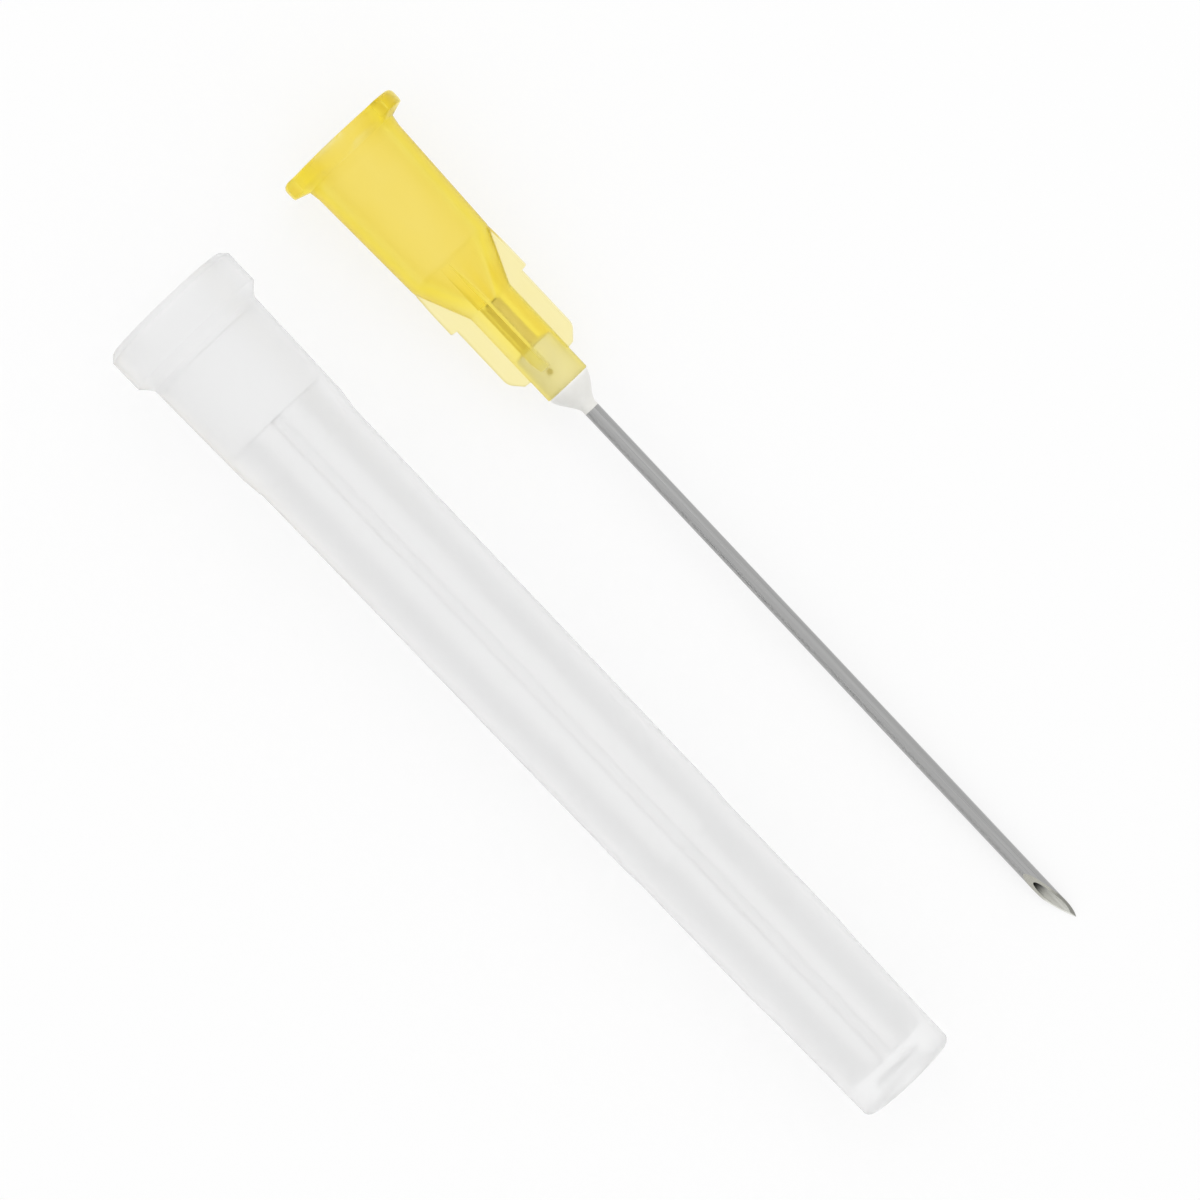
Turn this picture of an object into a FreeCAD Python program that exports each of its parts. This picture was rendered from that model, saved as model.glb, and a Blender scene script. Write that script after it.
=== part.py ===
import FreeCAD, Part
import math
import os

V = FreeCAD.Vector

# Sizes in mm. Each piece is drawn along its own axis, x forward, and then laid on the table.
# On the needle x runs from the rear face of the hub to the point.
# On the sheath x runs from the open mouth to the closed end.

# Hub rim, a disc with two flats and two lugs that screw into a locking collar
LUG_R = 3.915
LUG_WIDTH = 3.44
LUG_THICK = 0.90
LUG_EDGE = 0.34
RIM_R = 3.36
RIM_FLAT = 3.12
RIM_EDGE = 0.20
RIM_FRONT = 1.20

# Hub barrel, shoulder and nose
BARREL_REAR_R = 3.03
BARREL_START = 1.80
BARREL_START_R = 2.93
BARREL_END = 8.90
BARREL_END_R = 2.72
SHOULDER_BEND = 0.60
NOSE_START = 12.00
NOSE_R = 1.39
NOSE_BEND = 0.80
HUB_LEN = 18.05
NOSE_EDGE = 0.05

# Fins between the barrel and the nose
FIN_COUNT = 4
FIN_THICK = 0.55
FIN_START = 7.70
FIN_START_R = 2.68
FIN_CREST = 10.40
FIN_R = 2.78
FIN_SHOULDER = 11.90
FIN_SHOULDER_EDGE = 0.10
FIN_STEP_R = 2.42
FIN_SLOPE_LEN = 0.70
FIN_SLOPE_BEND = 0.80
FIN_END_R = 1.77
# Length of the nose that stays bare in front of the fins
NOSE_BARE = 1.45

# Mark that the moulding gate leaves on the bare nose
GATE_FROM_FINS = 0.30
GATE_R = 0.18
GATE_DEPTH = 0.12

# Luer socket, a 6 per cent taper, and the funnel in front of it
SOCKET_R = 2.1575
LUER_TAPER = 0.06
SOCKET_DEPTH = 8.70
FLOOR_X = 9.05
FLOOR_R = 1.60
FUNNEL_END = 11.40
FUNNEL_END_R = 0.60

# Cannula, regular-walled 20 gauge tube with a primary grind and two lancet grinds
TUBE_OD = 0.908
TUBE_ID = 0.603
TUBE_START = 12.10
POINT_X = 57.80
BEVEL_LEN = 3.74
BEVEL_ANGLE = 12.0
LANCET_ANGLE = 19.2
LANCET_TURN = 30.0
BEVEL_ROLL = 22.0

# Adhesive well in the nose, and the bead that runs out along the cannula
WELL_DEPTH = 2.95
WELL_SLOPE = 0.25
WELL_R = 1.05
BEAD_R = 1.33
BEAD_LEN = 1.85
BEAD_END_R = 0.48
# Along the bead, the share of its length and of its fall in radius
BEAD_CURVE = ((0.10, 0.05), (0.35, 0.33), (0.65, 0.80))

# Sheath outside, as stations along its length
SHEATH_LEN = 57.30
COLLAR_R = 4.25
COLLAR_LEN = 2.67
COLLAR_BEVEL = 0.36
GRIP_START = 3.00
GRIP_START_R = 3.65
GRIP_END = 9.70
GRIP_END_R = 3.55
SLEEVE_START = 11.10
SLEEVE_START_R = 3.38
STEP_START = 38.90
STEP_START_R = 3.26
STEP_END = 39.90
STEP_END_R = 3.19
TIP_START = 48.60
TIP_START_R = 3.17
TIP_NECK = 50.00
TIP_NECK_R = 3.10
TIP_END_R = 3.01
TIP_EDGE = 0.35

# Sheath inside
LEAD_IN_R = 3.15
LEAD_IN_LEN = 3.30
GRIP_CLEARANCE = 0.02
GRIP_BORE_LEN = 8.50
BORE_CLEARANCE = 0.10
BORE_FRONT_R = 2.30
RIB_COUNT = 4
RIB_THICK = 0.60
RIB_CLEARANCE = 0.09
RIB_FRONT_R = 1.18
END_WALL = 1.80
RECESS_R = 1.30
RECESS_DEPTH = 1.00

# How the two lie side by side on the table
SHEATH_SIDE = 12.66
SHEATH_AHEAD = 0.28
SHEATH_TURN = 0.43

# Room that a cutting solid is longer than the piece at an open end
OVERRUN = 0.50
# Two outline points closer than this are one
SAME_PLACE = 1e-6
# Halvings of the range in which the needle's roll is looked for
HALVINGS = 40


def point(x, r):
    return V(x, 0, r)


def bend(before, corner, after, radius):
    """A rounded corner: the point where the arc starts, then its middle and end."""
    c = point(*corner)
    u = (point(*before) - c).normalize()
    w = (point(*after) - c).normalize()
    half = u.getAngle(w) / 2
    run = radius / math.tan(half)
    start = c + u * run
    end = c + w * run
    towards = (u + w).normalize()
    middle = c + towards * (radius / math.sin(half) - radius)
    return [(start.x, start.z), [(middle.x, middle.z), (end.x, end.z)]]


def bevel(before, corner, after, size):
    """A flat bevel across a corner, as its two points."""
    c = point(*corner)
    u = (point(*before) - c).normalize()
    w = (point(*after) - c).normalize()
    start = c + u * size
    end = c + w * size
    return [(start.x, start.z), (end.x, end.z)]


def lathe(steps):
    """Turns a closed outline about the x axis. A step is a point, reached by a straight edge,
    a list of two points, reached by an arc, or a longer list, reached by a smooth curve."""
    here = point(*steps[0])
    edges = []
    for step in steps[1:] + steps[:1]:
        if isinstance(step, tuple):
            there = point(*step)
            if here.distanceToPoint(there) > SAME_PLACE:
                edges.append(Part.makeLine(here, there))
        else:
            via = [point(*p) for p in step]
            there = via[-1]
            if len(via) == 2:
                edges.append(Part.Arc(here, via[0], there).toShape())
            else:
                curve = Part.BSplineCurve()
                curve.interpolate([here] + via)
                edges.append(curve.toShape())
        here = there
    face = Part.Face(Part.Wire(edges))
    return face.revolve(V(0, 0, 0), V(1, 0, 0), 360)


def slab(x0, x1, half_width, half_height):
    """A box along the x axis, centred on it."""
    corner = V(x0, -half_width, -half_height)
    return Part.makeBox(x1 - x0, 2 * half_width, 2 * half_height, corner)


def star(count, x0, x1, thick, reach):
    """Flat plates along the x axis, evenly turned about it."""
    plates = []
    for i in range(count):
        plate = Part.makeBox(x1 - x0, thick, reach, V(x0, -thick / 2, 0))
        plate.rotate(V(0, 0, 0), V(1, 0, 0), 360.0 * i / count)
        plates.append(plate)
    return plates[0].multiFuse(plates[1:])


def rim():
    """The rear flange: a disc with two flats, and two lugs across it."""
    disc = lathe(
        [(0, 0)]
        + bevel((0, 0), (0, RIM_R), (LUG_THICK, RIM_R), RIM_EDGE)
        + [(LUG_THICK, RIM_R), (RIM_FRONT, BARREL_REAR_R), (RIM_FRONT, 0)]
    )
    disc = disc.common(slab(-OVERRUN, RIM_FRONT + OVERRUN, LUG_R, RIM_FLAT))
    wheel = lathe(
        [(0, 0)]
        + bend((0, 0), (0, LUG_R), (LUG_THICK, LUG_R), LUG_EDGE)
        + bend((0, LUG_R), (LUG_THICK, LUG_R), (RIM_FRONT, BARREL_REAR_R), LUG_EDGE)
        + [(RIM_FRONT, BARREL_REAR_R), (RIM_FRONT, 0)]
    )
    lugs = wheel.common(slab(-OVERRUN, RIM_FRONT + OVERRUN, LUG_R + OVERRUN, LUG_WIDTH / 2))
    return [disc, lugs]


def barrel():
    """The turned body: barrel, shoulder and nose."""
    rear = (RIM_FRONT, BARREL_REAR_R)
    start = (BARREL_START, BARREL_START_R)
    end = (BARREL_END, BARREL_END_R)
    neck = (NOSE_START, NOSE_R)
    nose = (HUB_LEN - NOSE_EDGE, NOSE_R)
    return lathe(
        [(0, 0), (0, BARREL_REAR_R), rear, start]
        + bend(start, end, neck, SHOULDER_BEND)
        + bend(end, neck, nose, NOSE_BEND)
        + [nose, (HUB_LEN, NOSE_R - NOSE_EDGE), (HUB_LEN, 0)]
    )


def fins():
    """Radial plates that stiffen the neck and key the sheath, with one step and a sloped front."""
    fin_end = HUB_LEN - NOSE_BARE
    crest = (FIN_CREST, FIN_R)
    shoulder = (FIN_SHOULDER, FIN_R)
    step = (FIN_SHOULDER, FIN_STEP_R)
    front = (fin_end, FIN_END_R)
    envelope = lathe(
        [(FIN_START, 0), (FIN_START, FIN_START_R), crest]
        + bevel(crest, shoulder, step, FIN_SHOULDER_EDGE)
        + [step]
        + bend(step, (fin_end - FIN_SLOPE_LEN, FIN_STEP_R), front, FIN_SLOPE_BEND)
        + [front, (fin_end, 0)]
    )
    plates = star(FIN_COUNT, FIN_START, fin_end, FIN_THICK, FIN_R + OVERRUN)
    return plates.common(envelope)


def passage():
    """The hollow of the hub: socket, funnel, seat of the cannula and adhesive well."""
    slope = LUER_TAPER / 2
    tube_r = TUBE_OD / 2
    well = HUB_LEN - WELL_DEPTH
    return lathe(
        [
            (-OVERRUN, 0),
            (-OVERRUN, SOCKET_R + slope * OVERRUN),
            (SOCKET_DEPTH, SOCKET_R - slope * SOCKET_DEPTH),
            (FLOOR_X, FLOOR_R),
            (FUNNEL_END, FUNNEL_END_R),
            (TUBE_START, TUBE_ID / 2),
            (TUBE_START, tube_r),
            (well, tube_r),
            (well + WELL_SLOPE, WELL_R),
            (HUB_LEN + OVERRUN, WELL_R),
            (HUB_LEN + OVERRUN, 0),
        ]
    )


def make_hub():
    body = barrel().multiFuse(rim() + [fins()])
    gate_x = HUB_LEN - NOSE_BARE + GATE_FROM_FINS
    gate = Part.makeCylinder(GATE_R, NOSE_R, V(gate_x, 0, NOSE_R - GATE_DEPTH))
    return body.cut(passage()).cut(gate).removeSplitter()


def ground_away(at, angle, turn):
    """The side of a grinding plane that is taken off. The plane passes through a place on the
    needle's centre plane, leans by an angle from the axis and is turned about the axis."""
    size = 4 * BEVEL_LEN
    block = Part.makeBox(size, size, size, V(-size / 2, -size / 2, 0))
    block.rotate(V(0, 0, 0), V(0, 1, 0), angle)
    block.rotate(V(0, 0, 0), V(1, 0, 0), turn)
    block.translate(at)
    return block


def make_cannula():
    tube_r = TUBE_OD / 2
    tube = Part.makeCylinder(tube_r, POINT_X - TUBE_START, V(TUBE_START, 0, 0), V(1, 0, 0))
    lumen = Part.makeCylinder(
        TUBE_ID / 2, POINT_X - TUBE_START + 2 * OVERRUN, V(TUBE_START - OVERRUN, 0, 0), V(1, 0, 0)
    )
    heel = V(POINT_X - BEVEL_LEN, 0, tube_r)
    tip = V(POINT_X, 0, -tube_r)
    tube = tube.cut(lumen)
    tube = tube.cut(ground_away(heel, BEVEL_ANGLE, 0))
    for side in (-1, 1):
        tube = tube.cut(ground_away(tip, LANCET_ANGLE, side * LANCET_TURN))
    tube.rotate(V(0, 0, 0), V(1, 0, 0), BEVEL_ROLL)
    return tube


def make_adhesive():
    """The epoxy that fills the well and runs out over the end of the nose."""
    tube_r = TUBE_OD / 2
    well = HUB_LEN - WELL_DEPTH
    end = HUB_LEN + BEAD_LEN
    drop = BEAD_R - BEAD_END_R
    return lathe(
        [
            (well, tube_r),
            (well + WELL_SLOPE, WELL_R),
            (HUB_LEN, WELL_R),
            (HUB_LEN, BEAD_R),
            [(HUB_LEN + along * BEAD_LEN, BEAD_R - fall * drop) for along, fall in BEAD_CURVE]
            + [(end, BEAD_END_R)],
            (end, tube_r),
        ]
    )


def sheath_stations():
    """The outside of the sheath, from the mouth to the closed end."""
    return [
        (0, COLLAR_R - COLLAR_BEVEL),
        (COLLAR_BEVEL, COLLAR_R),
        (COLLAR_LEN - COLLAR_BEVEL, COLLAR_R),
        (COLLAR_LEN, COLLAR_R - COLLAR_BEVEL),
        (GRIP_START, GRIP_START_R),
        (GRIP_END, GRIP_END_R),
        (SLEEVE_START, SLEEVE_START_R),
        (STEP_START, STEP_START_R),
        (STEP_END, STEP_END_R),
        (TIP_START, TIP_START_R),
        (TIP_NECK, TIP_NECK_R),
        (SHEATH_LEN - TIP_EDGE, TIP_END_R),
    ]


def sheath_hollow():
    """The bore of the sheath, with the inner ribs left out of it."""
    floor = SHEATH_LEN - END_WALL
    grip_r = FIN_R + GRIP_CLEARANCE
    bore_r = FIN_STEP_R + BORE_CLEARANCE
    rib_r = NOSE_R + RIB_CLEARANCE
    bore = lathe(
        [
            (-OVERRUN, 0),
            (-OVERRUN, LEAD_IN_R),
            (LEAD_IN_LEN, LEAD_IN_R),
            (LEAD_IN_LEN, grip_r),
            (GRIP_BORE_LEN, grip_r),
            (GRIP_BORE_LEN, bore_r),
            (floor, BORE_FRONT_R),
            (floor, 0),
        ]
    )
    between_ribs = lathe(
        [
            (GRIP_BORE_LEN - OVERRUN, 0),
            (GRIP_BORE_LEN - OVERRUN, rib_r),
            (STEP_END, rib_r),
            (STEP_END, RIB_FRONT_R),
            (floor + OVERRUN, RIB_FRONT_R),
            (floor + OVERRUN, 0),
        ]
    )
    ribs = star(RIB_COUNT, GRIP_BORE_LEN, floor + OVERRUN, RIB_THICK, bore_r + OVERRUN)
    return bore.cut(ribs.cut(between_ribs))


def make_sheath():
    side = (SHEATH_LEN - TIP_EDGE, TIP_END_R)
    edge = bend(side, (SHEATH_LEN, TIP_END_R), (SHEATH_LEN, 0), TIP_EDGE)[1]
    outside = lathe([(0, 0)] + sheath_stations() + edge + [(SHEATH_LEN, 0)])
    recess = Part.makeCylinder(
        RECESS_R, RECESS_DEPTH + OVERRUN, V(SHEATH_LEN - RECESS_DEPTH, 0, 0), V(1, 0, 0)
    )
    return outside.cut(sheath_hollow()).cut(recess)


def fin_low(roll):
    """How far below the axis the nearest fin reaches once the needle has rolled."""
    edge = math.asin(FIN_THICK / 2 / FIN_R)
    return FIN_R * math.cos(max(0.0, roll - edge))


def rim_low(roll):
    """How far below the axis the corner of the rim's flat reaches."""
    corner = math.sqrt(RIM_R**2 - RIM_FLAT**2)
    return RIM_FLAT * math.cos(roll) + corner * math.sin(roll)


def needle_lie():
    """The roll and the nose-down pitch, in radians, at which the rim's corner, one fin and the
    tube near the point all touch the table."""
    tip_low = TUBE_OD / 2
    low, high = 0.0, math.pi / FIN_COUNT
    for _ in range(HALVINGS):
        roll = (low + high) / 2
        pitch = math.atan((fin_low(roll) - tip_low) / (POINT_X - FIN_SHOULDER))
        line_at_rim = fin_low(roll) + (FIN_SHOULDER - LUG_THICK) * math.tan(pitch)
        if rim_low(roll) < line_at_rim:
            low = roll
        else:
            high = roll
    return roll, pitch


def sheath_pitch():
    """The angle at which the collar and the closed end both touch the table."""
    collar_x = COLLAR_LEN - COLLAR_BEVEL
    ahead = [(x, r) for x, r in sheath_stations() if x > collar_x]
    return min(math.atan((COLLAR_R - r) / (x - collar_x)) for x, r in ahead)


def lay(shape, roll, pitch, turn, x, y):
    """Rolls, tips and turns a copy of a piece about its own origin, then slides it along the table."""
    laid = shape.copy()
    laid.rotate(V(0, 0, 0), V(1, 0, 0), math.degrees(roll))
    laid.rotate(V(0, 0, 0), V(0, 1, 0), math.degrees(pitch))
    laid.rotate(V(0, 0, 0), V(0, 0, 1), turn)
    laid.translate(V(x, y, 0))
    return laid


def box_of(shapes):
    return Part.makeCompound(shapes).optimalBoundingBox(False, False)


def main():
    roll, pitch = needle_lie()
    needle = {"hub": make_hub(), "cannula": make_cannula(), "adhesive": make_adhesive()}
    needle = {name: lay(shape, roll, pitch, 0, 0, 0) for name, shape in needle.items()}
    sheath = {
        "sheath": lay(make_sheath(), 0, sheath_pitch(), SHEATH_TURN, SHEATH_AHEAD, -SHEATH_SIDE)
    }
    for group in (needle, sheath):
        rise = -box_of(list(group.values())).ZMin
        for shape in group.values():
            shape.translate(V(0, 0, rise))
    pieces = {**needle, **sheath}
    box = box_of(list(pieces.values()))
    middle = V(-(box.XMin + box.XMax) / 2, -(box.YMin + box.YMax) / 2, 0)
    os.makedirs("parts", exist_ok=True)
    for name, shape in pieces.items():
        shape.translate(middle)
        shape.exportStep("parts/" + name + ".step")
        print(name, shape.isValid(), len(shape.Solids), round(shape.Volume, 2), shape.BoundBox)
    print("roll", round(math.degrees(roll), 3), "pitch", round(math.degrees(pitch), 3))
    print("sheath pitch", round(math.degrees(sheath_pitch()), 3), "middle", middle)


main()
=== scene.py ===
import math
import bpy
import numpy as np
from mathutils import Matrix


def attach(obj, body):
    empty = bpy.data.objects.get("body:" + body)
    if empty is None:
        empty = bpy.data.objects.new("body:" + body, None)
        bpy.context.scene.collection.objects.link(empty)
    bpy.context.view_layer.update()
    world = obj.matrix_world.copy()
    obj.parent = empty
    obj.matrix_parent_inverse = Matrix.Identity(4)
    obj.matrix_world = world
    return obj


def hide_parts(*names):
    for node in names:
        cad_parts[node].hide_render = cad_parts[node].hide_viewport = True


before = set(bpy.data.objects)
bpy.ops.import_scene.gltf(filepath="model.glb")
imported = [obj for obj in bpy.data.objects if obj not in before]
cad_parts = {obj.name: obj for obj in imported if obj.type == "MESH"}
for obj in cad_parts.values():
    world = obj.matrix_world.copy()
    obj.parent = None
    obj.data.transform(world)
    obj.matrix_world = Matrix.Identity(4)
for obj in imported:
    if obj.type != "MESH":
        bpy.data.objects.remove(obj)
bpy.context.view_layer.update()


# Camera: it hangs straight above the needle and its sheath, turned so that the needle runs from
# the upper left to the lower right, and so far off that it sees them almost without perspective.
# Sizes are in metres, the turn in degrees and the sensor in mm.
VIEW_MIDDLE = (-0.00114, -0.00020)
VIEW_HEIGHT = 0.0030
VIEW_DISTANCE = 0.331
VIEW_WIDTH = 0.0642
VIEW_TURN = 46.65
SENSOR = 36.0
CLIP = (0.01, 10.0)

camera_data = bpy.data.cameras.new("camera")
camera_data.sensor_width = SENSOR
camera_data.lens = SENSOR * VIEW_DISTANCE / VIEW_WIDTH
camera_data.clip_start, camera_data.clip_end = CLIP
camera = bpy.data.objects.new("camera", camera_data)
camera.location = (*VIEW_MIDDLE, VIEW_HEIGHT + VIEW_DISTANCE)
camera.rotation_euler = (0, 0, math.radians(VIEW_TURN))
bpy.context.scene.collection.objects.link(camera)
bpy.context.scene.camera = camera
bpy.context.scene.view_settings.view_transform = "Standard"


# Table: a plain white sheet of card under the pieces. Seen directly it glows enough to come out
# nearly white and still keeps a soft shadow. Mirrored in metal or seen through plastic it is
# plain white.
TABLE_COLOUR = "#F4F4F4"
TABLE_SIZE = 1.6
TABLE_GLOW = 0.77


def srgb(code):
    """Linear colour of a hex colour: a channel c of at most 0.04045 is divided by 12.92, and any
    other becomes (c + 0.055) / 1.055 to the power 2.4."""
    c = np.array([int(code[i : i + 2], 16) / 255 for i in (1, 3, 5)])
    return (*np.where(c <= 0.04045, c / 12.92, ((c + 0.055) / 1.055) ** 2.4).tolist(), 1.0)


def put(tree, kind, sockets=None, **settings):
    """Adds a node with its settings. A socket takes a value, or a link if it is given an output."""
    made = tree.nodes.new(kind)
    for name, value in settings.items():
        setattr(made, name, value)
    for name, value in (sockets or {}).items():
        if isinstance(value, bpy.types.NodeSocket):
            tree.links.new(value, made.inputs[name])
        else:
            made.inputs[name].default_value = value
    return made


def blank_material(name):
    """A new material and its empty node tree."""
    material = bpy.data.materials.new(name)
    material.use_nodes = True
    material.node_tree.nodes.clear()
    return material, material.node_tree


card, tree = blank_material("card_white")
rays = put(tree, "ShaderNodeLightPath").outputs
share = put(
    tree, "ShaderNodeMath", {0: rays["Is Camera Ray"], 1: TABLE_GLOW}, operation="MULTIPLY"
)
for ray in ("Is Glossy Ray", "Is Transmission Ray"):
    share = put(tree, "ShaderNodeMath", {0: share.outputs[0], 1: rays[ray]}, operation="MAXIMUM")
matt = put(tree, "ShaderNodeBsdfDiffuse", {"Color": srgb(TABLE_COLOUR)})
glow = put(tree, "ShaderNodeEmission", {"Color": (1, 1, 1, 1), "Strength": 1.0})
sheet = put(
    tree, "ShaderNodeMixShader", {0: share.outputs[0], 1: matt.outputs[0], 2: glow.outputs[0]}
)
put(tree, "ShaderNodeOutputMaterial", {"Surface": sheet.outputs[0]})

half = TABLE_SIZE / 2
corners = [(-half, -half, 0), (half, -half, 0), (half, half, 0), (-half, half, 0)]
table_mesh = bpy.data.meshes.new("table")
table_mesh.from_pydata(corners, [], [(0, 1, 2, 3)])
table_mesh.materials.append(card)
table = bpy.data.objects.new("table", table_mesh)
bpy.context.scene.collection.objects.link(table)


# Light: an even white room, one broad soft lamp beyond the top of the picture and a weaker one
# beyond its foot. Each lamp has a name, a place and a size in metres, and a power in watts.
ROOM_STRENGTH = 0.94
LAMPS = (
    ("lamp_key", (-0.30, 0.34, 0.62), 0.55, 0.85),
    ("lamp_fill", (0.42, -0.30, 0.50), 0.45, 0.2),
)

world = bpy.data.worlds.new("room")
world.use_nodes = True
world.node_tree.nodes["Background"].inputs["Color"].default_value = (1, 1, 1, 1)
world.node_tree.nodes["Background"].inputs["Strength"].default_value = ROOM_STRENGTH
bpy.context.scene.world = world
for name, place, size, power in LAMPS:
    lamp_data = bpy.data.lights.new(name, "AREA")
    lamp_data.shape = "SQUARE"
    lamp_data.size = size
    lamp_data.energy = power
    lamp = bpy.data.objects.new(name, lamp_data)
    away = np.array(place) / np.linalg.norm(place)
    lamp.location = place
    lamp.rotation_euler = (math.acos(away[2]), 0, math.atan2(away[1], away[0]) + math.pi / 2)
    bpy.context.scene.collection.objects.link(lamp)


# Hub: one moulding of translucent yellow polypropylene, with a flange and two lugs at the rear,
# a barrel round the Luer socket, four fins along the neck, and a nose that holds the adhesive.
# Sizes are in mm along the needle's own axis, x from the rear face forward, and angles in degrees.
NEEDLE_AXES = ((-28.7748, 6.4961, 3.3553), (12.323, 2.878, 0))
LUG_R = 3.915
LUG_HALF = 1.72
RIM_R = 3.36
RIM_FLAT = 3.12
# The flange's edge: x, and by how much the disc and the lugs stay inside their radius there.
RIM_OUTLINE = (
    (0.00, 0.20, 0.26), (0.06, 0.07, 0.12), (0.20, 0.0, 0.02), (0.34, 0.0, 0.0), (0.72, 0.0, 0.0),
    (0.84, 0.03, 0.02), (0.92, 0.12, 0.05),
)
RIM_FRONT = (1.18, 3.06)
NOSE_R = 1.39
SOCKET_DEPTH = 8.70
# Outlines are corners: x, radius and the bend that rounds the corner.
HUB_BODY = (
    (1.20, 3.03, 0), (1.80, 2.93, 0.4), (8.90, 2.72, 0.60), (12.00, NOSE_R, 0.80),
    (18.05, NOSE_R, 0.05), (18.06, 1.30, 0),
)
FIN_HALF = 0.275
FIN_TOP = (
    (7.70, 2.66, 0), (10.40, 2.78, 0.5), (11.90, 2.78, 0.10), (11.94, 2.42, 0.03),
    (15.90, 2.42, 0.80), (16.60, 1.77, 0.08), (16.64, 1.30, 0),
)
FIN_FILLET = 0.08
# Adhesive well, channel of the tube, funnel and Luer socket. The channel is 0.004 mm narrower
# than the tube, so that no air shows between them.
PASSAGE = (
    (18.06, 1.05, 0), (15.35, 1.05, 0), (15.10, 0.450, 0), (12.105, 0.450, 0), (12.10, 0.3015, 0),
    (11.40, 0.60, 0.2), (9.05, 1.60, 0.15), (SOCKET_DEPTH, 1.8965, 0), (0.00, 2.1575, 0),
)
# The gate's mark: a dimple on top of the nose with a soft rim. It moves points higher than the
# first and within the second size of GATE_ZONE.
GATE_X = 16.90
GATE_R = 0.18
GATE_DEPTH = 0.12
GATE_RIM = 0.03
GATE_ZONE = (1.2, 1.45)
# Points in each run of an eighth of a finned ring (crest, side, fillet, body) and in each run of a
# quarter of the flange (lug, its side, disc, flat).
EIGHTH = (4, 5, 3, 10)
RIM_QUARTER = (13, 7, 14, 10)
# Where the rings lie along the hub, how close two may come, where the points turn from the
# flange's angles to the fins' angles, up to where the barrel is plainly round, and the height over
# which a fin grows out of the round.
BODY_STATIONS = (2.2, 18.0, 0.35)
GATE_STATIONS = (16.5, 17.4, 0.05)
CLOSEST = 0.004
EASE_FROM = 1.2
EASE_LEN = 5.0
ROUND_TO = 7.0
FIN_GROWTH = 0.06
PASSAGE_STEP = 0.5


def rounded_line(corners, steps=6):
    """An outline through corners (x, r, bend). A corner with a bend becomes an arc of that radius
    that touches both its sides, its points spread by equal angles."""
    line = [corners[0][:2]]
    for before, here, after in zip(corners, corners[1:], corners[2:]):
        if not here[2]:
            line.append(here[:2])
            continue
        corner = np.array(here[:2])
        u = np.array(before[:2]) - corner
        w = np.array(after[:2]) - corner
        u = u / np.linalg.norm(u)
        w = w / np.linalg.norm(w)
        opening = math.acos(float(u @ w))
        middle = corner + (u + w) / np.linalg.norm(u + w) * here[2] / math.sin(opening / 2)
        first = corner + u * here[2] / math.tan(opening / 2) - middle
        last = corner + w * here[2] / math.tan(opening / 2) - middle
        swing = math.pi - opening
        t = np.linspace(0, 1, steps + 1)[:, None]
        arc = np.sin((1 - t) * swing) * first + np.sin(t * swing) * last
        line.extend(middle + arc / math.sin(swing))
    line.append(corners[-1][:2])
    return np.array(line, float)


def all_round(eighth):
    """Four equal quarters from one eighth of a ring, shape (stations, n + 1, 2): the eighth, its
    mirror image in the 45 degree line, and both turned by 90, 180 and 270 degrees."""
    quarter = np.concatenate([eighth[:, :-1], eighth[:, :0:-1, ::-1]], axis=1)
    p, q = quarter[..., 0], quarter[..., 1]
    turns = [np.stack(pair, -1) for pair in ((p, q), (-q, p), (-p, -q), (q, -p))]
    return np.concatenate(turns, axis=1)


def plated_ring(body, plate, thick_half, fillet):
    """Sections of a round piece with four flat plates, one for each pair of radii. In one eighth
    the points follow the plate's edge, an arc of radius plate, its side, a line at thick_half from
    the middle, a small fillet, and the body, an arc of radius body, up to 45 degrees. Where both
    radii are equal the points lie on that circle."""
    body, plate = np.atleast_1d(body)[:, None], np.atleast_1d(plate)[:, None]
    edge = np.arcsin(thick_half / plate)
    root = np.arcsin(thick_half / body)
    end = root + fillet / body
    parts = [np.linspace(0, 1, n + 1)[None, :-1] for n in EIGHTH[:3]]
    parts.append(np.linspace(0, 1, EIGHTH[3] + 1)[None])
    along = body * np.cos(root)
    top = plate * np.cos(edge)
    foot = along + np.sign(top - along) * np.minimum(fillet, np.abs(top - along))
    t = parts[2]
    rest = end + (math.pi / 4 - end) * parts[3]
    p = [
        plate * np.cos(edge * parts[0]),
        top + (foot - top) * parts[1],
        (1 - t) ** 2 * foot + 2 * t * (1 - t) * along + t**2 * body * np.cos(end),
        body * np.cos(rest),
    ]
    q = [
        plate * np.sin(edge * parts[0]),
        thick_half + 0 * parts[1] * top,
        (1 - t) ** 2 * thick_half + 2 * t * (1 - t) * thick_half + t**2 * body * np.sin(end),
        body * np.sin(rest),
    ]
    shaped = np.stack([np.concatenate(p, 1), np.concatenate(q, 1)], -1)
    start = root - fillet / body
    between = np.linspace(0, 1, sum(EIGHTH[1:3]) + 1)[None, :-1]
    near = np.concatenate([start * parts[0], start + 2 * fillet / body * between, rest], 1)
    circle = body[..., None] * np.stack([np.cos(near), np.sin(near)], -1)
    grown = np.clip(np.abs(plate - body) / FIN_GROWTH, 0, 1)[..., None]
    return all_round(grown * shaped + (1 - grown) * circle)


def round_ring(radius, angles):
    """Circles of the given radii, with points at the given angles."""
    return np.atleast_1d(radius)[:, None, None] * np.stack([np.cos(angles), np.sin(angles)], -1)


def stationed(x, rings):
    """Rings of points (y, z) set at their places x along the axis, as points (x, y, z)."""
    places = np.broadcast_to(np.asarray(x)[:, None, None], rings.shape[:2] + (1,))
    return np.concatenate([places, rings], -1)


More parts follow.
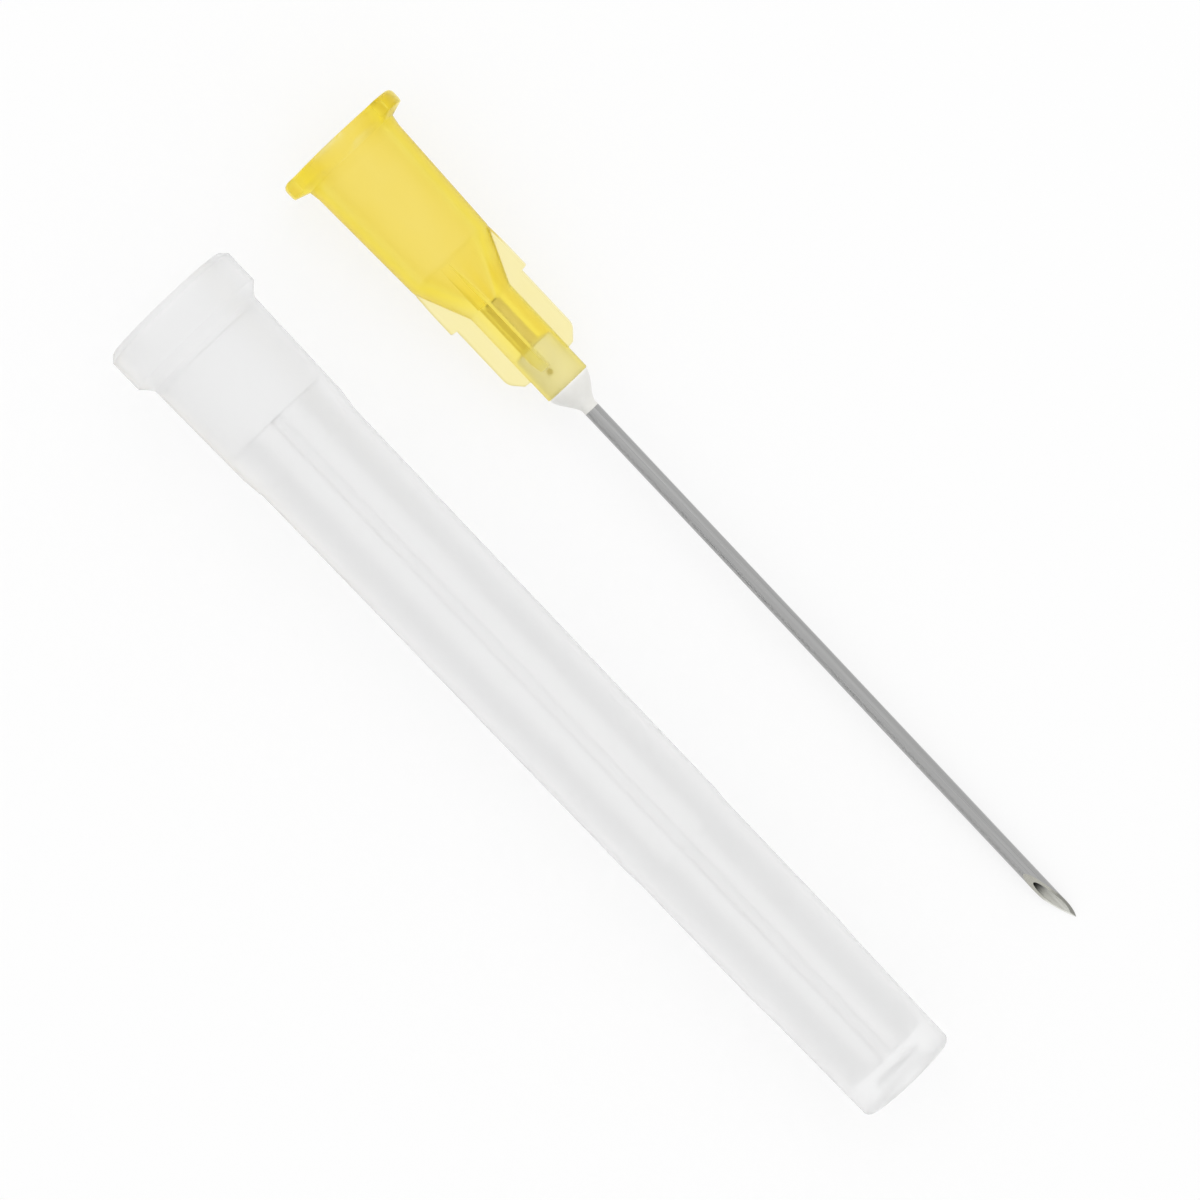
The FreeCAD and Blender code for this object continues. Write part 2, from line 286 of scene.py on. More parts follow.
def laid(points, place, turns):
    """Turns points (mm) about x, then y, then z, by angles in degrees, moves them to their place
    and gives metres."""
    a, b, c = np.radians(turns)
    about_x = np.array([[1, 0, 0], [0, np.cos(a), -np.sin(a)], [0, np.sin(a), np.cos(a)]])
    about_y = np.array([[np.cos(b), 0, np.sin(b)], [0, 1, 0], [-np.sin(b), 0, np.cos(b)]])
    about_z = np.array([[np.cos(c), -np.sin(c), 0], [np.sin(c), np.cos(c), 0], [0, 0, 1]])
    return (points @ (about_z @ about_y @ about_x).T + np.array(place)) / 1000


def skin(name, rings, material, poles=None, sharp=38):
    """A closed surface over rings of points, shape (rings, columns, 3). Each ring is joined to the
    next. The last is joined to the first, or, given two poles, each end is closed on its pole.
    Edges that bend by more than sharp degrees are drawn as edges, the rest as one curve."""
    count, columns = rings.shape[:2]
    index = np.arange(count * columns).reshape(count, columns)
    following = np.roll(index, -1, 1)
    rows = np.arange(count if poles is None else count - 1)
    onward = (rows + 1) % count
    quads = np.stack([index[rows], following[rows], following[onward], index[onward]], -1)
    quads = quads.reshape(-1, 4)
    points = rings.reshape(-1, 3)
    faces = quads.tolist()
    if poles is not None:
        points = np.concatenate([points, poles])
        start, finish = count * columns, count * columns + 1
        faces += np.stack([np.full(columns, start), following[0], index[0]], -1).tolist()
        faces += np.stack([np.full(columns, finish), index[-1], following[-1]], -1).tolist()
    a, b, c, d = (points[quads[:, k]] for k in range(4))
    volume = np.sum(np.cross(a, b) * c) + np.sum(np.cross(a, c) * d)
    if volume < 0:
        faces = [face[::-1] for face in faces]
    mesh = bpy.data.meshes.new(name)
    mesh.from_pydata(points.tolist(), [], faces)
    mesh.polygons.foreach_set("use_smooth", np.ones(len(faces), bool))
    mesh.set_sharp_from_angle(angle=math.radians(sharp))
    mesh.materials.append(material)
    mesh.update()
    piece = bpy.data.objects.new(name, mesh)
    bpy.context.scene.collection.objects.link(piece)
    return piece


def rim_angles():
    """Angles of the points round the flange, so that the corners of lugs and flats fall on points:
    the lug's arc, its side, the disc and the flat take one run each in every quarter."""
    ratios = (LUG_HALF / LUG_R, LUG_HALF / RIM_R, RIM_FLAT / RIM_R)
    stops = [0, *(math.asin(ratio) for ratio in ratios), math.pi / 2]
    runs = [np.linspace(a, b, n + 1)[:-1] for a, b, n in zip(stops, stops[1:], RIM_QUARTER)]
    quarter = np.concatenate(runs)
    back = math.pi - np.append(quarter, math.pi / 2)[:0:-1]
    return np.concatenate([quarter, back, quarter + math.pi, back + math.pi])


def rim_ring(angles, disc, lug):
    """The flange's outline: the farther of the disc, cut by its two flats, and the lugs, cut to
    their width, both as distances along a ray at each angle."""
    across = np.maximum(np.abs(np.sin(angles)), 1e-9)
    disc_reach = np.minimum(disc, RIM_FLAT / across)
    lug_reach = np.minimum(lug, LUG_HALF / across)
    return round_ring(1.0, angles)[0] * np.maximum(disc_reach, lug_reach)[:, None]


body_line = rounded_line(HUB_BODY)
fin_line = rounded_line(FIN_TOP)
even = [np.arange(*BODY_STATIONS), np.arange(*GATE_STATIONS)]
x_body = np.unique(np.concatenate([body_line[:-1, 0], fin_line[:, 0], *even]))
x_body = x_body[np.concatenate([[True], np.diff(x_body) > CLOSEST])]
r_body = np.interp(x_body, body_line[:, 0], body_line[:, 1])
r_fin = np.interp(x_body, fin_line[:, 0], fin_line[:, 1], left=0, right=0)
outside = plated_ring(r_body, np.maximum(r_body, r_fin), FIN_HALF, FIN_FILLET)

rim_turn = rim_angles()
fin_turn = np.unwrap(np.arctan2(outside[0, :, 1], outside[0, :, 0]))
ease = np.clip((x_body - EASE_FROM) / EASE_LEN, 0, 1)[:, None]
blended = rim_turn * (1 - ease) + fin_turn * ease
plain = x_body < ROUND_TO
outside[plain] = round_ring(1.0, blended[plain]) * r_body[plain][:, None, None]

x_rim = [x for x, _, _ in RIM_OUTLINE] + [RIM_FRONT[0]]
rim = np.array([rim_ring(rim_turn, RIM_R - disc, LUG_R - lug) for _, disc, lug in RIM_OUTLINE])
rim = np.concatenate([rim, round_ring(RIM_FRONT[1], rim_turn)])

passage_line = rounded_line(PASSAGE)
runs = []
for start, end in zip(passage_line[:-1], passage_line[1:]):
    count = max(2, int(abs(start[0] - end[0]) / PASSAGE_STEP) + 2)
    runs.append(np.linspace(start, end, count)[:-1])
x_in, r_in = np.concatenate(runs + [passage_line[-1:]]).T
back = np.clip(1 - x_in / SOCKET_DEPTH, 0, 1)[:, None]
inside = round_ring(1.0, rim_turn * back + fin_turn * (1 - back)) * r_in[:, None, None]

hub_points = stationed(
    np.concatenate([x_rim, x_body, x_in]), np.concatenate([rim, outside, inside])
)
from_gate = np.hypot(hub_points[..., 0] - GATE_X, hub_points[..., 1])
within = np.clip((GATE_R + GATE_RIM - from_gate) / (2 * GATE_RIM), 0, 1)
from_axis = np.hypot(hub_points[..., 1], hub_points[..., 2])
on_nose = (hub_points[..., 2] > GATE_ZONE[0]) & (from_axis < GATE_ZONE[1])
hub_points[..., 2] -= GATE_DEPTH * within**2 * (3 - 2 * within) * on_nose

# Polypropylene as moulded: a hazy, waxy translucence, deeper in colour where the wall is thicker,
# with faint clouds of dye, and darker in colour round the gate's dimple. The index starts from
# 1.49 and is matched down, because haze in the real wall evens out the bright and dark bands that
# a clear wall shows. The mould's spark-eroded grain is drawn as coarse as it needs to show.
HUB_DYES = ("#FBF3D2", "#FAF0BE")
GATE_TONE = "#C2AC44"
GATE_TONE_FADE = (0.08, 0.30)
GATE_TONE_SHARE = 0.85
HUB_DYE = "#FFF838"
HUB_DYE_DENSITY = 500.0
HUB_ROUGHNESS = (0.36, 0.42)
PLASTIC_INDEX = 1.18
CLOUD_GRAIN = (2.4, 1.2)
SPARK_GRAIN = (0.07, 0.07)
SPARK_STRENGTH = 0.25
SPARK_HEIGHT = 0.000004
# A grain of 1 mm gives plain millimetres. Nearly all of a noise lies between these two values.
IN_MM = (1.0, 1.0)
NOISE_LOW = 0.3
NOISE_HIGH = 0.7


def own_axes(tree, place, turns, along, across):
    """Coordinates along a piece's own axes, divided by the grain of a pattern: its size in mm along
    the axis and across it."""
    position = put(tree, "ShaderNodeTexCoord").outputs["Object"]
    mapped = put(tree, "ShaderNodeMapping", {"Vector": position}, vector_type="TEXTURE")
    mapped.inputs["Location"].default_value = [c / 1000 for c in place]
    mapped.inputs["Rotation"].default_value = [math.radians(angle) for angle in turns]
    mapped.inputs["Scale"].default_value = (along / 1000, across / 1000, across / 1000)
    return mapped.outputs[0]


plastic, tree = blank_material("polypropylene_yellow")
clouds = put(
    tree, "ShaderNodeTexNoise",
    {"Vector": own_axes(tree, *NEEDLE_AXES, *CLOUD_GRAIN), "Scale": 1.0, "Detail": 2.0},
)
spark = put(
    tree, "ShaderNodeTexNoise",
    {"Vector": own_axes(tree, *NEEDLE_AXES, *SPARK_GRAIN), "Scale": 1.0, "Detail": 1.0},
)
tint = put(
    tree, "ShaderNodeMix",
    {0: clouds.outputs["Fac"], 6: srgb(HUB_DYES[0]), 7: srgb(HUB_DYES[1])},
    data_type="RGBA",
)
off_gate = put(
    tree, "ShaderNodeVectorMath",
    {0: own_axes(tree, *NEEDLE_AXES, *IN_MM), 1: (GATE_X, 0.0, NOSE_R - GATE_DEPTH)},
    operation="DISTANCE",
)
# Darker in colour round the gate's dimple, fading out over GATE_TONE_FADE.
gate_darkening = put(
    tree, "ShaderNodeMapRange",
    {
        "Value": off_gate.outputs["Value"],
        "From Min": GATE_TONE_FADE[0], "From Max": GATE_TONE_FADE[1],
        "To Min": GATE_TONE_SHARE, "To Max": 0.0,
    },
    interpolation_type="SMOOTHSTEP",
)
gate_darkened = put(
    tree, "ShaderNodeMix",
    {0: gate_darkening.outputs[0], 6: tint.outputs[2], 7: srgb(GATE_TONE)},
    data_type="RGBA",
)
dull = put(
    tree, "ShaderNodeMapRange",
    {
        "Value": clouds.outputs["Fac"],
        "From Min": NOISE_LOW, "From Max": NOISE_HIGH,
        "To Min": HUB_ROUGHNESS[0], "To Max": HUB_ROUGHNESS[1],
    },
)
grain = put(
    tree, "ShaderNodeBump",
    {"Height": spark.outputs["Fac"], "Strength": SPARK_STRENGTH, "Distance": SPARK_HEIGHT},
)
shader = put(
    tree, "ShaderNodeBsdfPrincipled",
    {
        "Base Color": gate_darkened.outputs[2],
        "Roughness": dull.outputs[0],
        "Normal": grain.outputs[0],
        "IOR": PLASTIC_INDEX,
        "Transmission Weight": 1.0,
    },
)
dye = put(
    tree, "ShaderNodeVolumeAbsorption", {"Color": srgb(HUB_DYE), "Density": HUB_DYE_DENSITY}
)
put(tree, "ShaderNodeOutputMaterial", {"Surface": shader.outputs[0], "Volume": dye.outputs[0]})

hub = skin("hub_moulding", laid(hub_points, *NEEDLE_AXES), plastic)
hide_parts("hub")
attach(hub, "needle")


# Cannula: a drawn stainless steel tube whose front end is ground three times, once flat and
# slanting and twice more at the sides of the tip. Its rear end is bonded in the hub's channel.
TUBE_R = 0.454
BORE_R = 0.3015
TUBE_REAR = 12.10
POINT = 57.80
BEVEL_LEN = 3.74
# Each grind: its lean from the axis, its turn about it, and a point (x, 0, z) that it cuts through.
GRINDS = (
    (12.0, 0.0, POINT - BEVEL_LEN, TUBE_R),
    (19.2, 30.0, POINT, -TUBE_R),
    (19.2, -30.0, POINT, -TUBE_R),
)
BEVEL_ROLL = 22.0
TUBE_COLUMNS = 256
BONDED_TO = 18.0
# Rows of points as shares of the way from the rear to the ground end. The film of epoxy on the
# tube ends at the row 0.129.
WALL_ROWS = (0, 0.06, 0.129, *np.linspace(0.2, 0.9, 8), 1.0)
CUT_ROWS = (0.25, 0.5, 0.75)
BORE_ROWS = (1.0, *np.linspace(0.9, 0, 10))
BEVEL_SHARP = 14


def ground_end(radius, angles):
    """How far forward the tube reaches at a radius and angle: the least of the three planes there.
    A plane leans by an angle from the axis, is turned about it and passes through (x, 0, z)."""
    y, z = radius * np.sin(angles), radius * np.cos(angles)
    reach = []
    for lean, turn, at_x, at_z in GRINDS:
        a, t = math.radians(lean), math.radians(turn)
        drop = -math.cos(a) * math.sin(t) * y + math.cos(a) * math.cos(t) * (z - at_z)
        reach.append(at_x - drop / math.sin(a))
    return np.min(reach, 0)


turn = np.arange(TUBE_COLUMNS) * 2 * math.pi / TUBE_COLUMNS
wall = [(TUBE_R, s) for s in WALL_ROWS]
face = [(TUBE_R + (BORE_R - TUBE_R) * t, 1.0) for t in CUT_ROWS]
bore = [(BORE_R, s) for s in BORE_ROWS]
rows = []
for radius, s in wall + face + bore:
    x = TUBE_REAR + s * (ground_end(radius, turn) - TUBE_REAR)
    rows.append(np.stack([x, radius * np.sin(turn), radius * np.cos(turn)], -1))
tube_points = laid(np.array(rows), (0, 0, 0), (BEVEL_ROLL, 0, 0)) * 1000

# Drawn stainless steel: a satin grey with fine bright and dark streaks along the tube.
STEEL = ("#9E9E9E", "#B3B3B2")
STEEL_ROUGHNESS = (0.24, 0.40)
STREAK_GRAIN = (9.0, 0.055)
STREAK_STRENGTH = 0.5
STREAK_HEIGHT = 0.000004

steel, tree = blank_material("stainless_drawn")
streaks = put(
    tree, "ShaderNodeTexNoise",
    {"Vector": own_axes(tree, *NEEDLE_AXES, *STREAK_GRAIN), "Scale": 1.0, "Detail": 3.0},
)
tone = put(
    tree, "ShaderNodeMix",
    {0: streaks.outputs["Fac"], 6: srgb(STEEL[0]), 7: srgb(STEEL[1])},
    data_type="RGBA",
)
satin = put(
    tree, "ShaderNodeMapRange",
    {
        "Value": streaks.outputs["Fac"],
        "From Min": NOISE_LOW, "From Max": NOISE_HIGH,
        "To Min": STEEL_ROUGHNESS[0], "To Max": STEEL_ROUGHNESS[1],
    },
)
draw = put(
    tree, "ShaderNodeBump",
    {"Height": streaks.outputs["Fac"], "Strength": STREAK_STRENGTH, "Distance": STREAK_HEIGHT},
)
shader = put(
    tree, "ShaderNodeBsdfPrincipled",
    {
        "Base Color": tone.outputs[2],
        "Metallic": 1.0,
        "Roughness": satin.outputs[0],
        "Normal": draw.outputs[0],
    },
)
put(tree, "ShaderNodeOutputMaterial", {"Surface": shader.outputs[0]})

# Ground stainless steel: brighter and slightly warm, with fine scratches across the bevel. Ahead
# of SIDE_FADE the two side grinds of the tip take over, with a painted highlight on one and
# painted shade on the other, and they meet in the middle of the tip.
GROUND = ("#A8A79E", "#C6C5BC")
GROUND_ROUGHNESS = 0.26
SIDE_GRINDS_LIT_AND_SHADED = ("#EAEAE4", "#84847F")
SIDE_MEETING = 0.04
SIDE_FADE = (55.5, 56.3)
SIDE_LIGHT_SHADE_SHARE = 0.85
SCRATCH_GRAIN = (0.035, 0.4)
SCRATCH_STRENGTH = 0.5
SCRATCH_HEIGHT = 0.000003

ground, tree = blank_material("stainless_ground")
scratches = put(
    tree, "ShaderNodeTexNoise",
    {"Vector": own_axes(tree, *NEEDLE_AXES, *SCRATCH_GRAIN), "Scale": 1.0, "Detail": 2.0},
)
tone = put(
    tree, "ShaderNodeMix",
    {0: scratches.outputs["Fac"], 6: srgb(GROUND[0]), 7: srgb(GROUND[1])},
    data_type="RGBA",
)
needle_place, (needle_roll, needle_pitch, _) = NEEDLE_AXES
point_turns = (needle_roll + BEVEL_ROLL, needle_pitch, 0)
on_point = put(
    tree, "ShaderNodeSeparateXYZ", {"Vector": own_axes(tree, needle_place, point_turns, *IN_MM)}
)
# Painted light on the tip: one side grind gets a painted highlight, the other painted shade.
side_light_shade = put(
    tree, "ShaderNodeMapRange",
    {"Value": on_point.outputs["Y"], "From Min": -SIDE_MEETING, "From Max": SIDE_MEETING},
)
lit_and_shaded_sides = put(
    tree, "ShaderNodeMix",
    {0: side_light_shade.outputs[0], 6: srgb(SIDE_GRINDS_LIT_AND_SHADED[0]), 7: srgb(SIDE_GRINDS_LIT_AND_SHADED[1])},
    data_type="RGBA",
)
ahead = put(
    tree, "ShaderNodeMapRange",
    {
        "Value": on_point.outputs["X"],
        "From Min": SIDE_FADE[0], "From Max": SIDE_FADE[1],
        "To Min": 0.0, "To Max": SIDE_LIGHT_SHADE_SHARE,
    },
    interpolation_type="SMOOTHSTEP",
)
whole = put(
    tree, "ShaderNodeMix",
    {0: ahead.outputs[0], 6: tone.outputs[2], 7: lit_and_shaded_sides.outputs[2]},
    data_type="RGBA",
)
cut = put(
    tree, "ShaderNodeBump",
    {"Height": scratches.outputs["Fac"], "Strength": SCRATCH_STRENGTH, "Distance": SCRATCH_HEIGHT},
)
shader = put(
    tree, "ShaderNodeBsdfPrincipled",
    {
        "Base Color": whole.outputs[2],
        "Metallic": 1.0,
        "Roughness": GROUND_ROUGHNESS,
        "Normal": cut.outputs[0],
    },
)
put(tree, "ShaderNodeOutputMaterial", {"Surface": shader.outputs[0]})

# Steel inside the hub: dull and pale under the film of epoxy that bonds it in its channel, which
# hides most of the metal's mirror.
FILMED = ("#F4ECDC", "#E2D9C8")
FILM_GRAIN = (0.8, 0.4)
FILM_METAL = 0.1
FILM_ROUGHNESS = 0.5

filmed, tree = blank_material("stainless_bonded")
film = put(
    tree, "ShaderNodeTexNoise",
    {"Vector": own_axes(tree, *NEEDLE_AXES, *FILM_GRAIN), "Scale": 1.0, "Detail": 2.0},
)
tone = put(
    tree, "ShaderNodeMix",
    {0: film.outputs["Fac"], 6: srgb(FILMED[0]), 7: srgb(FILMED[1])},
    data_type="RGBA",
)
shader = put(
    tree, "ShaderNodeBsdfPrincipled",
    {"Base Color": tone.outputs[2], "Metallic": FILM_METAL, "Roughness": FILM_ROUGHNESS},
)
put(tree, "ShaderNodeOutputMaterial", {"Surface": shader.outputs[0]})

# Steel of the bore: dull, with painted shade that makes it near black deep in the bore and lifts
# to a pale steel grey where the bevel opens it, patchy where the two meet. It mirrors next to
# nothing, so it has no metallic share.
BORE_PAINTED_SHADE = "#10100F"
BORE_UNSHADED = "#CFCFC8"
BORE_ROUGHNESS = 0.6
BORE_SHADE_FADE = (54.85, 55.75)
BORE_UNSHADED_SHARE = 0.9
BORE_SHADE_PATCHES = 0.1

shaded_bore, tree = blank_material("stainless_bore_painted_shade")
draws = put(
    tree, "ShaderNodeTexNoise",
    {"Vector": own_axes(tree, *NEEDLE_AXES, *STREAK_GRAIN), "Scale": 1.0, "Detail": 2.0},
)
from_rear = put(tree, "ShaderNodeSeparateXYZ", {"Vector": own_axes(tree, *NEEDLE_AXES, *IN_MM)})
# Painted shade in the bore: it lifts towards the ground end, where the bevel opens the bore.
shade_lift = put(
    tree, "ShaderNodeMapRange",
    {
        "Value": from_rear.outputs["X"],
        "From Min": BORE_SHADE_FADE[0], "From Max": BORE_SHADE_FADE[1],
        "To Min": 0.0, "To Max": BORE_UNSHADED_SHARE,
    },
    interpolation_type="SMOOTHSTEP",
)
patchy = put(
    tree, "ShaderNodeMapRange",
    {
        "Value": draws.outputs["Fac"],
        "From Min": NOISE_LOW, "From Max": NOISE_HIGH,
        "To Min": -BORE_SHADE_PATCHES, "To Max": BORE_SHADE_PATCHES,
    },
)
unshaded = put(
    tree, "ShaderNodeMath", {0: shade_lift.outputs[0], 1: patchy.outputs[0]},
    operation="ADD", use_clamp=True,
)
# Near-black painted shade deep in the bore, pale steel grey where it is lifted.
tone = put(
    tree, "ShaderNodeMix",
    {0: unshaded.outputs[0], 6: srgb(BORE_PAINTED_SHADE), 7: srgb(BORE_UNSHADED)},
    data_type="RGBA",
)
shader = put(
    tree, "ShaderNodeBsdfPrincipled",
    {"Base Color": tone.outputs[2], "Metallic": 0.0, "Roughness": BORE_ROUGHNESS},
)
put(tree, "ShaderNodeOutputMaterial", {"Surface": shader.outputs[0]})

cannula = skin("cannula_tube", laid(tube_points, *NEEDLE_AXES), steel, sharp=BEVEL_SHARP)
for material in (ground, filmed, shaded_bore):
    cannula.data.materials.append(material)
of_face = np.arange(len(cannula.data.polygons)) // TUBE_COLUMNS
in_bore = of_face >= len(wall) + len(face)
on_bevel = (of_face >= len(wall) - 1) & (of_face < len(wall) + len(face))
middles = np.zeros(len(cannula.data.polygons) * 3)
cannula.data.polygons.foreach_get("center", middles)
in_hub = middles[::3] * 1000 < needle_place[0] + BONDED_TO
steel_of_face = np.select([in_bore, in_hub, on_bevel], [3, 2, 1], 0).astype(np.int32)
cannula.data.polygons.foreach_set("material_index", steel_of_face)
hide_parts("cannula")
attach(cannula, "needle")


# Adhesive: milky epoxy, run into the well of the nose round the tube and cured. What stands out
# of the nose is a small cone that thins out along the tube. It overlaps the well's wall by
# 0.005 mm, so that no air shows between them.
GLUE_INNER_R = 0.460
NOSE_FRONT = 18.062
WELL = ((15.095, GLUE_INNER_R), (15.345, 1.055), (18.055, 1.055), (NOSE_FRONT, 1.20))
BEAD_R = 1.33
BEAD_LEN = 1.85
BEAD_END_R = 0.480
BEAD_LIP = 0.01
BEAD_STATIONS = 24
# The cone's fall: at these shares of its length it has lost these shares of its height.
BEAD_FALL = ((0.0, 0.0), (0.10, 0.05), (0.35, 0.33), (0.65, 0.80), (1.0, 1.0))
GLUE_BACK = 17.0
GLUE_COLUMNS = 96

fall = np.polyfit(*np.array(BEAD_FALL).T, len(BEAD_FALL) - 1)
along = np.linspace(0, 1, BEAD_STATIONS)
bead_r = BEAD_R - np.polyval(fall, along) * (BEAD_R - BEAD_END_R)
bead = np.stack([NOSE_FRONT + along * BEAD_LEN, bead_r], -1)
return_line = [(NOSE_FRONT + BEAD_LEN + BEAD_LIP, GLUE_INNER_R), (GLUE_BACK, GLUE_INNER_R)]
glue_line = np.concatenate([WELL, bead, return_line])
turn = np.arange(GLUE_COLUMNS) * 2 * math.pi / GLUE_COLUMNS
glue_points = stationed(glue_line[:, 0], round_ring(glue_line[:, 1], turn))

# Cured epoxy: milky white in the depth of the well, and clearer and greyer from just in front of
# the nose, where it thins out along the tube.
EPOXY_DEEP = "#FEFEFC"
EPOXY_THIN = "#E3E2DD"
EPOXY_THINNING = (17.9, 18.3)
EPOXY_PATCHES = 0.12
EPOXY_ROUGHNESS = 0.30
EPOXY_INDEX = 1.55
MILK_GRAIN = (0.7, 0.7)

epoxy, tree = blank_material("epoxy_milky")
along_axis = put(tree, "ShaderNodeSeparateXYZ", {"Vector": own_axes(tree, *NEEDLE_AXES, *IN_MM)})
thinning = put(
    tree, "ShaderNodeMapRange",
    {
        "Value": along_axis.outputs["X"],
        "From Min": EPOXY_THINNING[0], "From Max": EPOXY_THINNING[1],
        "To Min": 0.0, "To Max": 1.0,
    },
    interpolation_type="SMOOTHSTEP",
)
milk = put(
    tree, "ShaderNodeTexNoise",
    {"Vector": own_axes(tree, *NEEDLE_AXES, *MILK_GRAIN), "Scale": 1.0, "Detail": 2.0},
)
haze = put(
    tree, "ShaderNodeMapRange",
    {
        "Value": milk.outputs["Fac"],
        "From Min": NOISE_LOW, "From Max": NOISE_HIGH,
        "To Min": -EPOXY_PATCHES, "To Max": EPOXY_PATCHES,
    },
)
mixing = put(
    tree, "ShaderNodeMath", {0: thinning.outputs[0], 1: haze.outputs[0]},
    operation="ADD", use_clamp=True,
)
tone = put(
    tree, "ShaderNodeMix",
    {0: mixing.outputs[0], 6: srgb(EPOXY_DEEP), 7: srgb(EPOXY_THIN)},
    data_type="RGBA",
)
shader = put(
    tree, "ShaderNodeBsdfPrincipled",
    {"Base Color": tone.outputs[2], "Roughness": EPOXY_ROUGHNESS, "IOR": EPOXY_INDEX},
)
put(tree, "ShaderNodeOutputMaterial", {"Surface": shader.outputs[0]})

glue = skin("adhesive_bead", laid(glue_points, *NEEDLE_AXES), epoxy)
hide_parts("adhesive")
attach(glue, "needle")


# Sheath: one moulding of natural polypropylene, a long tapered tube closed at its far end, with a
# collar at the mouth and four ribs inside. It lies beside the needle. Sizes are in mm from the
# mouth along the sheath's own axis.
SHEATH_AXES = ((-28.4948, -6.1639, 4.3013), (0, 1.300, 0.43))
SHEATH_OUTSIDE = (
    (57.30, 1.34, 0), (57.30, 3.01, 0.35), (50.00, 3.10, 2.0), (48.60, 3.17, 2.0),
    (39.90, 3.19, 0.6), (38.90, 3.26, 0.6), (11.10, 3.38, 1.5), (9.70, 3.55, 1.5),
    (3.00, 3.65, 0.10), (2.67, 3.89, 0.05), (2.31, 4.25, 0.15), (0.36, 4.25, 0.15),
    (0.0, 3.89, 0.10), (0.0, 3.23, 0),
)
LEAD_IN_R = 3.15
LEAD_IN_LEN = 3.30
GRIP_R = 2.80
GRIP_LEN = 8.50
BORE_START_R = 2.52
BORE_END_R = 2.30
FLOOR = 55.50
RIB_HALF = 0.30
RIB_R = (1.48, 1.18)
RIB_STEP = 39.90
RIB_FILLET = 0.10
RECESS_R = 1.30
RECESS_FLOOR = 56.30
RECESS_RIM = 57.25
# Greatest distance between rings, where the evenly spaced ones start, how far apart a step's two
# rings lie, and the angle of a rib's side at the floor. Steps under 0.1 mm break the corners.
RING_STEP = 1.5
RIBBED_FROM = (9.5, 41.0)
STEP_LEN = 0.04
RIB_SIDE = 0.256

closed_end = [
    (RECESS_FLOOR, 0.6), (RECESS_FLOOR, RECESS_R - 0.06), (RECESS_FLOOR + 0.04, RECESS_R),
    (RECESS_RIM, RECESS_R),
]
mouth = [
    (0.06, LEAD_IN_R), (LEAD_IN_LEN - 0.02, LEAD_IN_R), (LEAD_IN_LEN, LEAD_IN_R - 0.04),
    (LEAD_IN_LEN, GRIP_R + 0.05), (LEAD_IN_LEN + 0.05, GRIP_R), (GRIP_LEN, GRIP_R),
]
line = np.concatenate([closed_end, rounded_line(SHEATH_OUTSIDE), mouth])
runs = []
for start, end in zip(line[:-1], line[1:]):
    count = max(1, math.ceil(abs(end[0] - start[0]) / RING_STEP))
    runs.append(start + (end - start) * np.linspace(0, 1, count, endpoint=False)[:, None])
plain_line = np.concatenate(runs + [line[-1:]])

x_rib = np.concatenate([
    [GRIP_LEN + STEP_LEN],
    np.arange(RIBBED_FROM[0], RIB_STEP, RING_STEP),
    [RIB_STEP, RIB_STEP + STEP_LEN],
    np.arange(RIBBED_FROM[1], FLOOR - 0.5, RING_STEP),
    [FLOOR - 0.05, FLOOR],
])
r_bore = np.interp(x_rib, (GRIP_LEN, FLOOR), (BORE_START_R, BORE_END_R))
r_rib = np.where(x_rib <= RIB_STEP, RIB_R[0], RIB_R[1])
ribbed = plated_ring(r_bore, r_rib, RIB_HALF, RIB_FILLET)
calm = plated_ring(GRIP_R, GRIP_R, RIB_HALF, RIB_FILLET)[0]
sheath_turn = np.unwrap(np.arctan2(calm[:, 1], calm[:, 0]))
floor_eighth = np.concatenate([
    np.linspace(0, RIB_SIDE, EIGHTH[0] + 1)[:-1],
    np.linspace(RIB_SIDE, math.pi / 4, sum(EIGHTH[1:]) + 1),
])
floor_ring = all_round(round_ring(RIB_R[1], floor_eighth))
sheath_points = stationed(
    np.concatenate([plain_line[:, 0], x_rib, [FLOOR]]),
    np.concatenate([round_ring(plain_line[:, 1], sheath_turn), ribbed, floor_ring]),
)
poles = np.array([(RECESS_FLOOR, 0, 0), (FLOOR, 0, 0)])

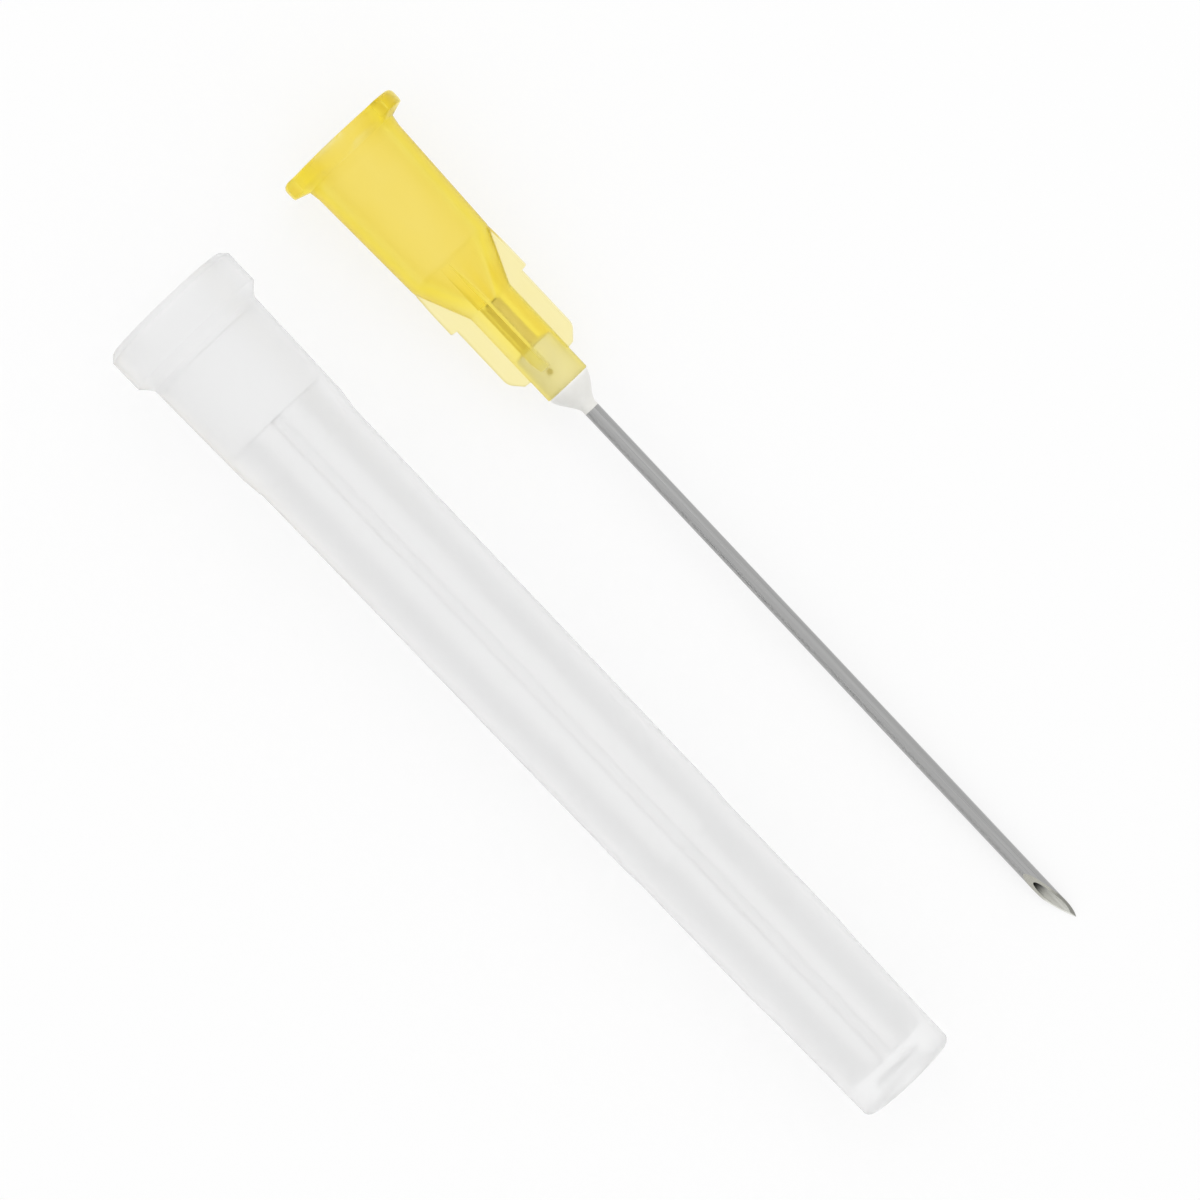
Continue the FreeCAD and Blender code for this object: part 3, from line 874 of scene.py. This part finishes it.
# Natural polypropylene, undyed: hazy and almost colourless, greyer where the wall is thicker, with
# the faint lengthwise flow marks of a long thin moulding. Its index is matched as the hub's is.
NATURAL = ("#F6F6F6", "#F9F9F9")
NATURAL_SMOKE = "#F4F4F4"
NATURAL_SMOKE_DENSITY = 20.0
SHEATH_ROUGHNESS = (0.56, 0.61)
FLOW_GRAIN = (14.0, 0.9)

natural, tree = blank_material("polypropylene_natural")
flow = put(
    tree, "ShaderNodeTexNoise",
    {"Vector": own_axes(tree, *SHEATH_AXES, *FLOW_GRAIN), "Scale": 1.0, "Detail": 2.0},
)
spark = put(
    tree, "ShaderNodeTexNoise",
    {"Vector": own_axes(tree, *SHEATH_AXES, *SPARK_GRAIN), "Scale": 1.0, "Detail": 1.0},
)
tint = put(
    tree, "ShaderNodeMix",
    {0: flow.outputs["Fac"], 6: srgb(NATURAL[0]), 7: srgb(NATURAL[1])},
    data_type="RGBA",
)
dull = put(
    tree, "ShaderNodeMapRange",
    {
        "Value": flow.outputs["Fac"],
        "From Min": NOISE_LOW, "From Max": NOISE_HIGH,
        "To Min": SHEATH_ROUGHNESS[0], "To Max": SHEATH_ROUGHNESS[1],
    },
)
grain = put(
    tree, "ShaderNodeBump",
    {"Height": spark.outputs["Fac"], "Strength": SPARK_STRENGTH, "Distance": SPARK_HEIGHT},
)
shader = put(
    tree, "ShaderNodeBsdfPrincipled",
    {
        "Base Color": tint.outputs[2],
        "Roughness": dull.outputs[0],
        "Normal": grain.outputs[0],
        "IOR": PLASTIC_INDEX,
        "Transmission Weight": 1.0,
    },
)
smoke = put(
    tree, "ShaderNodeVolumeAbsorption",
    {"Color": srgb(NATURAL_SMOKE), "Density": NATURAL_SMOKE_DENSITY},
)
put(tree, "ShaderNodeOutputMaterial", {"Surface": shader.outputs[0], "Volume": smoke.outputs[0]})

sheath = skin(
    "sheath_moulding", laid(sheath_points, *SHEATH_AXES), natural, poles=laid(poles, *SHEATH_AXES)
)
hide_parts("sheath")
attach(sheath, "sheath")
